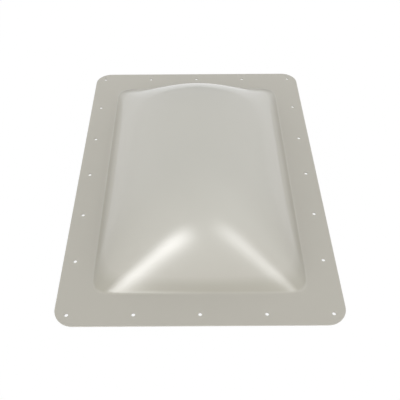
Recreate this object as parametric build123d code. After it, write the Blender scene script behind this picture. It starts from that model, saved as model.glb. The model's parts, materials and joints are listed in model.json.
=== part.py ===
"""Roof skylight dome with an integral fixing flange.

The real thing is one sheet of smoke tinted plastic. It is clamped round a
rectangular opening, heated and blown up into a pillow, so the dome, the root
curve round it and the flat flange are one piece. The frame holes are drilled
afterwards.

The part stands on the underside of its flange, with X across the short side,
Y along the long side and +Z up through the crown. Lengths are millimetres.
"""
import os
from math import pi, sin

from build123d import *

# Flange
FLANGE_WIDTH = 457.2
FLANGE_LENGTH = 660.4
FLANGE_CORNER_RADIUS = 32.0
SHEET_THICKNESS = 2.0
EDGE_ROUND = 0.5

# Opening of the clamp frame, where the root curve leaves the flat flange
OPENING_WIDTH = 355.6
OPENING_LENGTH = 550.0
CORNER_PULL = 15.0
CORNER_REACH = 50.0

# Dome: an arch across and an arch along that cross on soft hips
ACROSS_RISE = 194.0
ACROSS_POWER = 1.85
ACROSS_ROOT_RADIUS = 5.2
ALONG_RISE = 320.0
ALONG_POWER = 1.95
ALONG_ROOT_RADIUS = 38.0
HIP_POWER = 0.87
CROWN_THICKNESS = 1.4

# Fixing holes
HOLE_DIAMETER = 6.0
HOLE_INSET = 20.0
HOLES_ACROSS = 5
HOLES_ALONG = 7

# Spline net of the dome skin
NET_ACROSS = 44
NET_ALONG = 56
NET_CROWDING = 0.9
NET_MARGIN = 3.0
NET_TOLERANCE = 0.02
NET_DEGREE = 3
SLOPE_STEP = 0.05

# Bend of the root blend halfway up, for a lift and a slope of one
ROOT_BEND = 0.75


def root_blend(level, lift):
    """Height that runs from flat, below minus the lift, to the level itself above the lift.

    Its slope and its bend are even at both ends, as in a sheet drawn over a frame.
    """
    if level >= lift:
        return level
    if level <= -lift:
        return 0.0
    share = level / lift
    return lift * (1 + share) ** 3 * (3 - share) / 16


def arch(distance, half_span, rise, power, root_radius):
    """Height of one arch at a distance from its middle.

    The arch falls as a power of the distance. Its foot is set in from the half
    span by as much as the root curve needs to run out on the flange.
    """
    slope = rise * power / half_span
    lift = ROOT_BEND * root_radius * slope**2 / (1 + (slope / 2) ** 2) ** 1.5
    foot = half_span - lift / slope
    return root_blend(rise * (1 - (distance / foot) ** power), lift)


def pulled_in(distance, half_span):
    """How far the opening's outline draws in as it nears a corner."""
    share = 1 - (half_span - distance) / CORNER_REACH
    return CORNER_PULL * max(share, 0) ** 3


def rise_above_flange(x, y):
    """Height of the dome skin above the flange's upper face."""
    x, y = abs(x), abs(y)
    half_x, half_y = OPENING_WIDTH / 2, OPENING_LENGTH / 2
    x_drawn = x + pulled_in(y, half_y)
    y_drawn = y + pulled_in(x, half_x)
    across = arch(x_drawn, half_x, ACROSS_RISE, ACROSS_POWER, ACROSS_ROOT_RADIUS)
    along = arch(y_drawn, half_y, ALONG_RISE, ALONG_POWER, ALONG_ROOT_RADIUS)
    if min(across, along) <= 0:
        return 0.0
    return (across**-HIP_POWER + along**-HIP_POWER) ** (-1 / HIP_POWER)


def slopes(x, y):
    """Slopes of the dome skin across and along."""
    step = SLOPE_STEP
    across = rise_above_flange(x + step, y) - rise_above_flange(x - step, y)
    along = rise_above_flange(x, y + step) - rise_above_flange(x, y - step)
    return across / (2 * step), along / (2 * step)


def skin_point(x, y, crown_rise):
    """Outer point of the dome skin and the inner point across the wall."""
    rise = rise_above_flange(x, y)
    slope_x, slope_y = slopes(x, y)
    outer = Vector(x, y, SHEET_THICKNESS + rise)
    wall = SHEET_THICKNESS + (CROWN_THICKNESS - SHEET_THICKNESS) * rise / crown_rise
    inner = outer - Vector(-slope_x, -slope_y, 1).normalized() * wall
    return outer, inner


def stations(half_length, count):
    """Places from one side to the other, close together near the root curve."""
    steps = [2 * i / count - 1 for i in range(count + 1)]
    return [half_length * (step + NET_CROWDING * sin(pi * step) / pi) for step in steps]


def skin(points):
    """Smooth surface through rows of points."""
    return Face.make_surface_from_array_of_points(points, NET_TOLERANCE, min_deg=NET_DEGREE)


def dome_panel(half_x, half_y):
    """The blown pillow and its root curve as one closed wall, square at its rim."""
    crown_rise = rise_above_flange(0, 0)
    rows = [
        [skin_point(x, y, crown_rise) for x in stations(half_x, NET_ACROSS)]
        for y in stations(half_y, NET_ALONG)
    ]
    outside = skin([[outer for outer, inner in row] for row in rows])
    inside = skin([[inner for outer, inner in row] for row in rows])
    faces = [outside, inside]
    corners = [(half_x, half_y), (-half_x, half_y), (-half_x, -half_y), (half_x, -half_y)]
    for (x0, y0), (x1, y1) in zip(corners, corners[1:] + corners[:1]):
        rim = [(x0, y0, 0), (x1, y1, 0), (x1, y1, SHEET_THICKNESS), (x0, y0, SHEET_THICKNESS)]
        faces.append(Face(Wire.make_polygon(rim)))
    return Solid(Shell(faces))


def flange_plate():
    """Flat sheet with rounded corners and softened cut edges."""
    outline = RectangleRounded(FLANGE_WIDTH, FLANGE_LENGTH, FLANGE_CORNER_RADIUS)
    plate = extrude(outline, SHEET_THICKNESS)
    return fillet(plate.edges().filter_by(Axis.Z, reverse=True), EDGE_ROUND)


def hole_centres():
    """Evenly spaced fixing holes on a line set in from the flange's edge."""
    reach_x = FLANGE_WIDTH / 2 - HOLE_INSET
    reach_y = FLANGE_LENGTH / 2 - HOLE_INSET
    across = [reach_x * (2 * i / (HOLES_ACROSS - 1) - 1) for i in range(HOLES_ACROSS)]
    along = [reach_y * (2 * i / (HOLES_ALONG - 1) - 1) for i in range(1, HOLES_ALONG - 1)]
    end_rows = [(x, y) for y in (-reach_y, reach_y) for x in across]
    side_rows = [(x, y) for x in (-reach_x, reach_x) for y in along]
    return end_rows + side_rows


def skylight_dome():
    """Flange and dome in one wall, drilled for its fixings."""
    half_x = OPENING_WIDTH / 2 + NET_MARGIN
    half_y = OPENING_LENGTH / 2 + NET_MARGIN
    window = extrude(Rectangle(2 * half_x, 2 * half_y), SHEET_THICKNESS)
    body = flange_plate() - window + dome_panel(half_x, half_y)
    drill = Cylinder(HOLE_DIAMETER / 2, 3 * SHEET_THICKNESS)
    return body - [Pos(x, y) * drill for x, y in hole_centres()]


os.makedirs("parts", exist_ok=True)
export_step(skylight_dome(), "parts/skylight_dome.step")
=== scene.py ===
"""A roof skylight, blown from one sheet of smoke tinted plastic, on a pale floor.

Lengths are metres in the frame of the CAD model: X across the short side, Y along the
long side, +Z up through the crown, with the underside of the flange at z = 0.
"""
import json
from math import cos, radians, sin

import bpy
from mathutils import Matrix, Vector

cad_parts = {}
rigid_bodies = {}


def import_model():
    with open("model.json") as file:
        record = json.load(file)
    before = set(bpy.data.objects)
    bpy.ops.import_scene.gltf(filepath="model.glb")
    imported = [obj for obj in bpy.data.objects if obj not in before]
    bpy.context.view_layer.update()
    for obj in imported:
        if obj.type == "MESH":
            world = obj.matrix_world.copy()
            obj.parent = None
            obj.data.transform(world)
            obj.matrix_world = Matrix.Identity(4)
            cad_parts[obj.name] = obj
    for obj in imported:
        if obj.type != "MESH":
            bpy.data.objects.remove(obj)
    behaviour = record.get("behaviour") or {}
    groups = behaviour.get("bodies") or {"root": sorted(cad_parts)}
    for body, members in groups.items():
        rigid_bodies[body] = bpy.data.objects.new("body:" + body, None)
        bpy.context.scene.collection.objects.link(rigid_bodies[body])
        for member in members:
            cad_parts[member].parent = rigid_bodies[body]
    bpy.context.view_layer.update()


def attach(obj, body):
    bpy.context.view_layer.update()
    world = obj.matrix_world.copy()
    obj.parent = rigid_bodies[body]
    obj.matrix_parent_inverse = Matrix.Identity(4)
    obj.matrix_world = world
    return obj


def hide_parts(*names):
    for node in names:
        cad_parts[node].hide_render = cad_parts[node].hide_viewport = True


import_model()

# Sizes of the sheet, by the names of the inputs of its node tree
SHEET_SIZES = {
    "Flange Width": 0.4572,
    "Flange Length": 0.6604,
    "Corner Radius": 0.032,
    "Sheet Thickness": 0.002,
    "Crown Thickness": 0.0014,
    "Opening Width": 0.3556,
    "Opening Length": 0.551,
    "Crown Rise": 0.10933,
    "Across Rise": 0.1371,
    "Across Power": 1.86,
    "Across Root Radius": 0.0052,
    "Along Rise": 0.0537,
    "Along Power": 4.24,
    "Along Root Radius": 0.007,
    "Hip Power": 0.62,
    "Corner Pull": 0.014,
    "Corner Reach": 0.045,
    "Hole Diameter": 0.006,
    "Hole Inset": 0.020,
}
SHEET_COUNTS = {
    "Holes Across": 5,
    "Holes Along": 7,
    "Net Across": 121,
    "Net Along": 161,
    "Corner Steps": 14,
    "Hole Sides": 32,
}

# Easing of the outline's edges: radius, steps, band along the outline, least angle of an edge
EDGE_ROUND = 0.0005
EDGE_STEPS = 3
EDGE_BAND = 0.012
EDGE_ANGLE = radians(60)

# Bend of the root blend at its middle, for a blend one unit deep
ROOT_BEND = 0.75

# The net runs this far past the opening, and its lines crowd this much towards its border
NET_MARGIN = 0.003
NET_CROWDING = 0.75
HALF_TURN = radians(180)

# Points of the hole grid nearer the middle than this share of its width are not on its border
BORDER_SHARE = 0.499

# Points nearer than this to each other become one point
WELD = 0.00001


class Tree:
    """A node tree with short calls: each adds a node and gives back its first output."""

    def __init__(self, name, sizes, counts=None, outputs=(("Geometry", "NodeSocketGeometry"),)):
        self.group = bpy.data.node_groups.new(name, "GeometryNodeTree")
        self.ids = {}
        kinds = [(sizes, "NodeSocketFloat"), (counts or {}, "NodeSocketInt")]
        for values, kind in kinds:
            for label, value in values.items():
                socket = self.group.interface.new_socket(label, in_out="INPUT", socket_type=kind)
                socket.default_value = value
                self.ids[label] = socket.identifier
        for label, kind in outputs:
            self.group.interface.new_socket(label, in_out="OUTPUT", socket_type=kind)
        self.inputs = self.group.nodes.new("NodeGroupInput").outputs
        self.outputs = self.group.nodes.new("NodeGroupOutput").inputs

    def node(self, kind, values=None, **settings):
        """Adds a node; values are its inputs by name or by index."""
        node = self.group.nodes.new(kind)
        for name, value in settings.items():
            setattr(node, name, value)
        for name, value in (values or {}).items():
            if isinstance(value, bpy.types.Node):
                value = value.outputs[0]
            if isinstance(value, bpy.types.NodeSocket):
                self.group.links.new(value, node.inputs[name])
            else:
                node.inputs[name].default_value = value
        return node

    def math(self, operation, *values):
        node = self.node("ShaderNodeMath", dict(enumerate(values)), operation=operation)
        return node.outputs[0]

    def add(self, a, b):
        return self.math("ADD", a, b)

    def sub(self, a, b):
        return self.math("SUBTRACT", a, b)

    def mul(self, *factors):
        product = factors[0]
        for factor in factors[1:]:
            product = self.math("MULTIPLY", product, factor)
        return product

    def div(self, a, b):
        return self.math("DIVIDE", a, b)

    def power(self, a, b):
        return self.math("POWER", a, b)

    def compare(self, a, operation, b):
        node = self.node("FunctionNodeCompare", {0: a, 1: b}, data_type="FLOAT", operation=operation)
        return node.outputs[0]

    def either(self, a, b):
        return self.node("FunctionNodeBooleanMath", {0: a, 1: b}, operation="OR").outputs[0]

    def both(self, a, b):
        return self.node("FunctionNodeBooleanMath", {0: a, 1: b}, operation="AND").outputs[0]

    def place(self):
        """x and y of each point."""
        position = self.node("GeometryNodeInputPosition")
        parts = self.node("ShaderNodeSeparateXYZ", {0: position})
        return parts.outputs["X"], parts.outputs["Y"]

    def vector(self, x, y, z):
        return self.node("ShaderNodeCombineXYZ", {0: x, 1: y, 2: z}).outputs[0]

    def join(self, *parts):
        node = self.group.nodes.new("GeometryNodeJoinGeometry")
        for part in reversed(parts):
            self.group.links.new(part, node.inputs[0])
        return node.outputs[0]

    def weld(self, mesh):
        return self.node("GeometryNodeMergeByDistance", {"Geometry": mesh, "Distance": WELD}).outputs[0]


def arch_group():
    """One arch of the dome: a power curve with a smooth root of the given radius."""
    labels = ("Distance", "Half Span", "Rise", "Power", "Root Radius")
    tree = Tree("Arch", dict.fromkeys(labels, 0.0), outputs=(("Height", "NodeSocketFloat"),))
    distance, half_span, rise, power, root_radius = (tree.inputs[label] for label in labels)
    slope = tree.div(tree.mul(rise, power), half_span)
    steepness = tree.power(tree.add(1.0, tree.div(tree.mul(slope, slope), 4.0)), 1.5)
    lift = tree.div(tree.mul(ROOT_BEND, root_radius, slope, slope), steepness)
    foot = tree.sub(half_span, tree.div(lift, slope))
    reach = tree.power(tree.div(tree.math("ABSOLUTE", distance), foot), power)
    level = tree.mul(rise, tree.sub(1.0, reach))
    near = tree.math("MAXIMUM", tree.math("MINIMUM", level, lift), tree.mul(lift, -1.0))
    blend = tree.mul(tree.power(tree.add(lift, near), 3.0), tree.sub(tree.mul(3.0, lift), near))
    root = tree.div(blend, tree.mul(16.0, tree.power(lift, 3.0)))
    above = tree.math("MAXIMUM", tree.sub(level, lift), 0.0)
    tree.group.links.new(tree.add(root, above), tree.outputs["Height"])
    return tree.group


def crossed(tree, across, along):
    """Height where the two arches cross, rounded over the hips, with the crown at its own rise."""
    size = tree.inputs
    hip_power = size["Hip Power"]

    def share(height):
        return tree.div(1.0, tree.power(height, hip_power))

    both = tree.add(share(size["Across Rise"]), share(size["Along Rise"]))
    spare = tree.sub(both, share(size["Crown Rise"]))
    product = tree.mul(across, along)
    total = tree.add(tree.power(across, hip_power), tree.power(along, hip_power))
    left = tree.sub(total, tree.mul(spare, tree.power(product, hip_power)))
    return tree.div(product, tree.power(left, tree.div(1.0, hip_power)))


def pulled_in(tree, distance, half_span):
    """How far the opening's outline draws in as it nears a corner."""
    size = tree.inputs
    left = tree.sub(half_span, tree.math("ABSOLUTE", distance))
    share = tree.math("MAXIMUM", tree.sub(1.0, tree.div(left, size["Corner Reach"])), 0.0)
    return tree.mul(size["Corner Pull"], tree.power(share, 3.0))


def dome_height(tree, arch, x, y):
    """Height of the dome over the flange at x and y."""
    size = tree.inputs
    half_x = tree.mul(size["Opening Width"], 0.5)
    half_y = tree.mul(size["Opening Length"], 0.5)
    ways = (("Across", x, half_x, y, half_y), ("Along", y, half_y, x, half_x))
    heights = []
    for label, place, half, other, other_half in ways:
        values = {
            "Distance": tree.add(tree.math("ABSOLUTE", place), pulled_in(tree, other, other_half)),
            "Half Span": half,
            "Rise": size[f"{label} Rise"],
            "Power": size[f"{label} Power"],
            "Root Radius": size[f"{label} Root Radius"],
        }
        heights.append(tree.node("GeometryNodeGroup", values, node_tree=arch).outputs[0])
    return crossed(tree, *heights)


def station(tree, step, half_length):
    """Moves an even step from -1 to 1 towards the ends, where the root curve is."""
    wave = tree.math("SINE", tree.mul(step, HALF_TURN))
    crowded = tree.add(step, tree.mul(wave, NET_CROWDING / HALF_TURN))
    return tree.mul(crowded, half_length)


def dome_net(tree):
    """Flat net of quads over the opening, dense along its border."""
    size = tree.inputs
    values = {"Size X": 2.0, "Size Y": 2.0}
    values |= {"Vertices X": size["Net Across"], "Vertices Y": size["Net Along"]}
    grid = tree.node("GeometryNodeMeshGrid", values)
    x, y = tree.place()
    half_x = tree.add(tree.mul(size["Opening Width"], 0.5), NET_MARGIN)
    half_y = tree.add(tree.mul(size["Opening Length"], 0.5), NET_MARGIN)
    place = tree.vector(station(tree, x, half_x), station(tree, y, half_y), 0.0)
    return tree.node("GeometryNodeSetPosition", {"Geometry": grid, "Position": place}).outputs[0]


def fixing_holes(tree):
    """A circle for each hole, on the border points of a grid."""
    size = tree.inputs
    spread_x = tree.sub(size["Flange Width"], tree.mul(size["Hole Inset"], 2.0))
    spread_y = tree.sub(size["Flange Length"], tree.mul(size["Hole Inset"], 2.0))
    values = {"Size X": spread_x, "Size Y": spread_y}
    values |= {"Vertices X": size["Holes Across"], "Vertices Y": size["Holes Along"]}
    grid = tree.node("GeometryNodeMeshGrid", values)
    x, y = tree.place()
    inner_x = tree.compare(tree.math("ABSOLUTE", x), "LESS_THAN", tree.mul(spread_x, BORDER_SHARE))
    inner_y = tree.compare(tree.math("ABSOLUTE", y), "LESS_THAN", tree.mul(spread_y, BORDER_SHARE))
    inner = tree.both(inner_x, inner_y)
    values = {"Geometry": grid, "Selection": inner}
    border = tree.node("GeometryNodeDeleteGeometry", values, domain="POINT")
    radius = tree.mul(size["Hole Diameter"], 0.5)
    values = {"Resolution": size["Hole Sides"], "Radius": radius}
    circle = tree.node("GeometryNodeCurvePrimitiveCircle", values, mode="RADIUS")
    holes = tree.node("GeometryNodeInstanceOnPoints", {"Points": border, "Instance": circle})
    return tree.node("GeometryNodeRealizeInstances", {"Geometry": holes}).outputs[0]


def flange_plate(tree, net):
    """Flat plate between the outline and the net's border, with the holes left open."""
    size = tree.inputs
    values = {"Width": size["Flange Width"], "Height": size["Flange Length"]}
    outline = tree.node("GeometryNodeCurvePrimitiveQuadrilateral", values, mode="RECTANGLE")
    values = {"Curve": outline, "Radius": size["Corner Radius"], "Count": size["Corner Steps"]}
    rounded = tree.node("GeometryNodeFilletCurve", values, mode="POLY")
    neighbours = tree.node("GeometryNodeInputMeshEdgeNeighbors").outputs[0]
    rim = tree.node("FunctionNodeCompare", {2: neighbours, 3: 1}, data_type="INT", operation="EQUAL")
    border = tree.node("GeometryNodeMeshToCurve", {"Mesh": net, "Selection": rim}).outputs[0]
    lines = tree.join(rounded.outputs[0], border, fixing_holes(tree))
    return tree.node("GeometryNodeFillCurve", {"Curve": lines}).outputs[0]


def walled(tree, sheet, offset):
    """Closed wall: the sheet, and its copy moved by the offset, with the rims joined."""
    kept = tree.group.nodes.new("GeometryNodeCaptureAttribute")
    kept.capture_items.new("VECTOR", "Offset")
    tree.group.links.new(sheet, kept.inputs["Geometry"])
    tree.group.links.new(offset, kept.inputs["Offset"])
    outer = kept.outputs["Geometry"]
    under = tree.node("GeometryNodeFlipFaces", {"Mesh": outer})
    values = {"Mesh": under, "Offset Scale": 0.0, "Individual": False}
    pulled = tree.node("GeometryNodeExtrudeMesh", values, mode="FACES")
    values = {"Geometry": pulled, "Selection": pulled.outputs["Top"], "Offset": kept.outputs["Offset"]}
    inner = tree.node("GeometryNodeSetPosition", values).outputs[0]
    return tree.weld(tree.join(outer, inner))


def finished_edges(tree, mesh):
    """Marks the upper and lower edge of the outline for rounding; the holes stay sharp."""
    size = tree.inputs
    x, y = tree.place()
    near_x = tree.sub(tree.mul(size["Flange Width"], 0.5), EDGE_BAND)
    near_y = tree.sub(tree.mul(size["Flange Length"], 0.5), EDGE_BAND)
    side = tree.compare(tree.math("ABSOLUTE", x), "GREATER_THAN", near_x)
    end = tree.compare(tree.math("ABSOLUTE", y), "GREATER_THAN", near_y)
    angle = tree.node("GeometryNodeInputMeshEdgeAngle").outputs[0]
    corner = tree.compare(angle, "GREATER_THAN", EDGE_ANGLE)
    outline = tree.either(side, end)
    values = {"Geometry": mesh, "Name": "bevel_weight_edge", "Value": tree.both(outline, corner)}
    weighted = tree.node("GeometryNodeStoreNamedAttribute", values, data_type="FLOAT", domain="EDGE")
    smooth = tree.node("GeometryNodeSetShadeSmooth", {"Geometry": weighted}, domain="FACE")
    inside = tree.node("FunctionNodeBooleanMath", {0: outline}, operation="NOT").outputs[0]
    values = {"Geometry": smooth, "Selection": tree.both(inside, corner), "Shade Smooth": False}
    return tree.node("GeometryNodeSetShadeSmooth", values, domain="EDGE").outputs[0]


def skylight_tree(material):
    """Node tree of the sheet: net and flange, lifted to the dome, walled, and its edges marked."""
    tree = Tree("Blown Sheet", SHEET_SIZES, SHEET_COUNTS)
    size = tree.inputs
    net = dome_net(tree)
    flat = tree.weld(tree.join(net, flange_plate(tree, net)))
    x, y = tree.place()
    height = dome_height(tree, arch_group(), x, y)
    lifted = tree.vector(x, y, tree.add(size["Sheet Thickness"], height))
    sheet = tree.node("GeometryNodeSetPosition", {"Geometry": flat, "Position": lifted}).outputs[0]
    place = tree.node("GeometryNodeInputPosition")
    level = tree.node("ShaderNodeSeparateXYZ", {0: place}).outputs["Z"]
    rise = tree.sub(level, size["Sheet Thickness"])
    thinning = tree.sub(size["Crown Thickness"], size["Sheet Thickness"])
    wall = tree.add(size["Sheet Thickness"], tree.mul(thinning, tree.div(rise, size["Crown Rise"])))
    normal = tree.node("GeometryNodeInputNormal")
    values = {0: normal.outputs[0], "Scale": tree.mul(wall, -1.0)}
    offset = tree.node("ShaderNodeVectorMath", values, operation="SCALE").outputs[0]
    closed = finished_edges(tree, walled(tree, sheet, offset))
    real = tree.node("GeometryNodeRealizeInstances", {"Geometry": closed})
    last = tree.node("GeometryNodeSetMaterial", {"Geometry": real, "Material": material})
    tree.group.links.new(last.outputs[0], tree.outputs[0])
    return tree


def skylight_dome(material):
    """The blown sheet as one closed mesh, with the outline's edges eased."""
    tree = skylight_tree(material)
    piece = bpy.data.objects.new("blown_sheet", bpy.data.meshes.new("blown_sheet"))
    bpy.context.scene.collection.objects.link(piece)
    blown = piece.modifiers.new("Blown sheet", "NODES")
    blown.node_group = tree.group
    for label, value in {**SHEET_SIZES, **SHEET_COUNTS}.items():
        blown[tree.ids[label]] = value
    eased = piece.modifiers.new("Eased edge", "BEVEL")
    eased.limit_method = "WEIGHT"
    eased.width = EDGE_ROUND
    eased.segments = EDGE_STEPS
    normals = piece.modifiers.new("Normals", "WEIGHTED_NORMAL")
    normals.keep_sharp = True
    evaluated = piece.evaluated_get(bpy.context.evaluated_depsgraph_get())
    mesh = bpy.data.meshes.new_from_object(evaluated)
    piece.modifiers.clear()
    piece.data = mesh
    mesh.name = "blown_sheet"
    return piece


SMOKE_FINISH = {
    "Roughness": 0.38,
    "IOR": 1.5,
    "Coat Weight": 1.0,
    "Coat Roughness": 0.04,
    "Coat IOR": 1.5,
    "Transmission Weight": 0.12,
    "Specular IOR Level": 0.15,
}

# Smoke tint on the flange and at the crown, and the heights between which it changes; the paler crown
# is partly the thinner sheet and partly painted sheen of the light from above
FLANGE_TINT = (0.437, 0.420, 0.370, 1.0)
FLANGE_LEVEL = 0.002
CROWN_TINT_AND_SHEEN = (0.482, 0.474, 0.430, 1.0)
CROWN_LEVEL = 0.108

# Faint clouds in the tint
CLOUD_SCALE = 9.0
CLOUD_DETAIL = 3.0
CLOUD_SHARE = 0.05

# Painted shade in the crease round the root of the dome, by share of the height it reaches up to
ROOT_SHADE_TOP = 0.03
ROOT_SHADE_STOPS = (
    (0.08, (1.0, 1.0, 1.0, 1.0)),
    (0.14, (0.84, 0.835, 0.80, 1.0)),
    (0.38, (0.86, 0.855, 0.83, 1.0)),
    (0.70, (1.0, 1.0, 1.0, 1.0)),
)


def smoke_plastic():
    """Smoke tinted sheet: a hazy warm grey body under a clear gloss skin, with painted shade round the
    root.
    """
    material = bpy.data.materials.new("smoke_plastic")
    material.use_nodes = True
    nodes, links = material.node_tree.nodes, material.node_tree.links
    skin = nodes["Principled BSDF"]
    for label, value in SMOKE_FINISH.items():
        skin.inputs[label].default_value = value
    place = nodes.new("ShaderNodeTexCoord")
    parts = nodes.new("ShaderNodeSeparateXYZ")
    links.new(place.outputs["Object"], parts.inputs[0])
    # Paler towards the crown: partly the thinner sheet, partly painted sheen of the light from above
    thin_and_sheen = nodes.new("ShaderNodeMapRange")
    thin_and_sheen.inputs["From Min"].default_value = FLANGE_LEVEL
    thin_and_sheen.inputs["From Max"].default_value = CROWN_LEVEL
    links.new(parts.outputs["Z"], thin_and_sheen.inputs["Value"])
    clouds = nodes.new("ShaderNodeTexNoise")
    clouds.inputs["Scale"].default_value = CLOUD_SCALE
    clouds.inputs["Detail"].default_value = CLOUD_DETAIL
    links.new(place.outputs["Object"], clouds.inputs["Vector"])
    tint = nodes.new("ShaderNodeMix")
    tint.data_type = "RGBA"
    tint.inputs["A"].default_value = FLANGE_TINT
    tint.inputs["B"].default_value = CROWN_TINT_AND_SHEEN
    links.new(thin_and_sheen.outputs["Result"], tint.inputs["Factor"])
    haze = nodes.new("ShaderNodeMix")
    haze.data_type = "RGBA"
    haze.blend_type = "MULTIPLY"
    haze.inputs["Factor"].default_value = CLOUD_SHARE
    links.new(tint.outputs["Result"], haze.inputs["A"])
    links.new(clouds.outputs["Fac"], haze.inputs["B"])
    # Painted shade: the tint is darkened by height in the crease round the root of the dome
    low = nodes.new("ShaderNodeMapRange")
    low.inputs["From Max"].default_value = ROOT_SHADE_TOP
    links.new(parts.outputs["Z"], low.inputs["Value"])
    root = nodes.new("ShaderNodeValToRGB")
    links.new(low.outputs["Result"], root.inputs["Fac"])
    stops = root.color_ramp.elements
    stops[0].position, stops[0].color = ROOT_SHADE_STOPS[0]
    stops[1].position, stops[1].color = ROOT_SHADE_STOPS[-1]
    for share, colour in ROOT_SHADE_STOPS[1:-1]:
        stops.new(share).color = colour
    shaded_tint = nodes.new("ShaderNodeMix")
    shaded_tint.data_type = "RGBA"
    shaded_tint.blend_type = "MULTIPLY"
    shaded_tint.inputs["Factor"].default_value = 1.0
    links.new(haze.outputs["Result"], shaded_tint.inputs["A"])
    links.new(root.outputs["Color"], shaded_tint.inputs["B"])
    links.new(shaded_tint.outputs["Result"], skin.inputs["Base Color"])
    return material


# The photograph's camera, solved from the holes and the flange's outline
CAMERA_PLACE = Vector((-0.01113, -0.77226, 0.76632))
CAMERA_PITCH = radians(47.348)
CAMERA_ROLL = radians(-0.343)
CAMERA_LENS = 50.6
CAMERA_FILM = 36.0
CAMERA_SHIFT = 0.01915


def photo_camera():
    """The photograph's viewing angle: seen from the front, well above the crown."""
    data = bpy.data.cameras.new("photo_camera")
    data.lens = CAMERA_LENS
    data.sensor_width = CAMERA_FILM
    data.shift_x = CAMERA_SHIFT
    level_right = Vector((1.0, 0.0, 0.0))
    level_down = Vector((0.0, -sin(CAMERA_PITCH), -cos(CAMERA_PITCH)))
    forward = Vector((0.0, cos(CAMERA_PITCH), -sin(CAMERA_PITCH)))
    right = cos(CAMERA_ROLL) * level_right - sin(CAMERA_ROLL) * level_down
    down = sin(CAMERA_ROLL) * level_right + cos(CAMERA_ROLL) * level_down
    camera = bpy.data.objects.new("photo_camera", data)
    axes = Matrix((right, -down, -forward)).transposed()
    camera.matrix_world = Matrix.Translation(CAMERA_PLACE) @ axes.to_4x4()
    bpy.context.scene.collection.objects.link(camera)
    bpy.context.scene.camera = camera


def white_for_sight(tree):
    """Factor that is 1 for camera, mirror and see-through rays."""
    path = tree.nodes.new("ShaderNodeLightPath")
    total = path.outputs["Is Camera Ray"]
    for label in ("Is Glossy Ray", "Is Transmission Ray"):
        larger = tree.nodes.new("ShaderNodeMath")
        larger.operation = "MAXIMUM"
        tree.links.new(total, larger.inputs[0])
        tree.links.new(path.outputs[label], larger.inputs[1])
        total = larger.outputs[0]
    return total


# The floor lies just under the flange, so that the two faces never fall together
FLOOR_HALF = 3.0
FLOOR_GAP = 0.0002
FLOOR_GLOW = 0.92
FLOOR_PAPER = (0.85, 0.85, 0.85, 1.0)


def pale_floor():
    """Plain pale floor that reads white and still takes the part's shadow."""
    mesh = bpy.data.meshes.new("floor")
    sides = ((-1, -1), (1, -1), (1, 1), (-1, 1))
    corners = [(x * FLOOR_HALF, y * FLOOR_HALF, -FLOOR_GAP) for x, y in sides]
    mesh.from_pydata(corners, [], [(0, 1, 2, 3)])
    floor = bpy.data.objects.new("floor", mesh)
    bpy.context.scene.collection.objects.link(floor)
    material = bpy.data.materials.new("floor_paper")
    material.use_nodes = True
    tree = material.node_tree
    tree.nodes.remove(tree.nodes["Principled BSDF"])
    paper = tree.nodes.new("ShaderNodeBsdfDiffuse")
    paper.inputs["Color"].default_value = FLOOR_PAPER
    glow = tree.nodes.new("ShaderNodeEmission")
    share = tree.nodes.new("ShaderNodeMath")
    share.operation = "MULTIPLY"
    share.inputs[1].default_value = FLOOR_GLOW
    mix = tree.nodes.new("ShaderNodeMixShader")
    tree.links.new(white_for_sight(tree), share.inputs[0])
    tree.links.new(share.outputs[0], mix.inputs["Fac"])
    tree.links.new(paper.outputs[0], mix.inputs[1])
    tree.links.new(glow.outputs[0], mix.inputs[2])
    tree.links.new(mix.outputs[0], tree.nodes["Material Output"].inputs["Surface"])
    mesh.materials.append(material)
    return floor


ROOM_LEVEL = 0.24

# Lights: degrees to the right of the front, degrees up, strength, spread in degrees
SOFT_WALLS = (
    (-135.0, 8.0, 0.68, 22.0),
    (-45.0, 8.0, 2.20, 22.0),
    (45.0, 8.0, 1.07, 22.0),
    (135.0, 8.0, 0.65, 22.0),
    (180.0, 8.0, 0.18, 22.0),
    (-90.0, 45.0, 0.44, 22.0),
    (0.0, 45.0, 0.40, 22.0),
    (90.0, 45.0, 1.05, 22.0),
    (180.0, 45.0, 0.45, 22.0),
)
FRONT_LAMPS = (
    (-19.0, 48.0, 9.6, 6.0),
    (35.0, 51.0, 5.0, 6.5),
)


def light_direction(turn, up):
    """Unit vector from the part towards a light."""
    level = cos(radians(up))
    return sin(radians(turn)) * level, -cos(radians(turn)) * level, sin(radians(up))


def studio_world():
    """Pale room with soft walls of light all round and two small lamps high in front."""
    world = bpy.data.worlds.new("studio")
    bpy.context.scene.world = world
    world.use_nodes = True
    nodes, links = world.node_tree.nodes, world.node_tree.links

    def math(operation, *values):
        node = nodes.new("ShaderNodeMath")
        node.operation = operation
        for socket, value in zip(node.inputs, values):
            if isinstance(value, bpy.types.NodeSocket):
                links.new(value, socket)
            else:
                socket.default_value = value
        return node.outputs[0]

    ray = nodes.new("ShaderNodeTexCoord").outputs["Generated"]
    total = ROOM_LEVEL
    for turn, up, strength, spread in SOFT_WALLS + FRONT_LAMPS:
        dot = nodes.new("ShaderNodeVectorMath")
        dot.operation = "DOT_PRODUCT"
        links.new(ray, dot.inputs[0])
        dot.inputs[1].default_value = light_direction(turn, up)
        aside = math("SUBTRACT", dot.outputs["Value"], 1.0)
        falloff = math("EXPONENT", math("MULTIPLY", aside, 1.0 / radians(spread) ** 2))
        glow = math("MULTIPLY", falloff, strength)
        total = math("ADD", total, glow)
    background = nodes["Background"]
    links.new(total, background.inputs["Color"])
    background.inputs["Strength"].default_value = 1.0


dome = skylight_dome(smoke_plastic())
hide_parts("skylight_dome")
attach(dome, "root")
photo_camera()
pale_floor()
studio_world()
bpy.context.scene.view_settings.view_transform = "Standard"
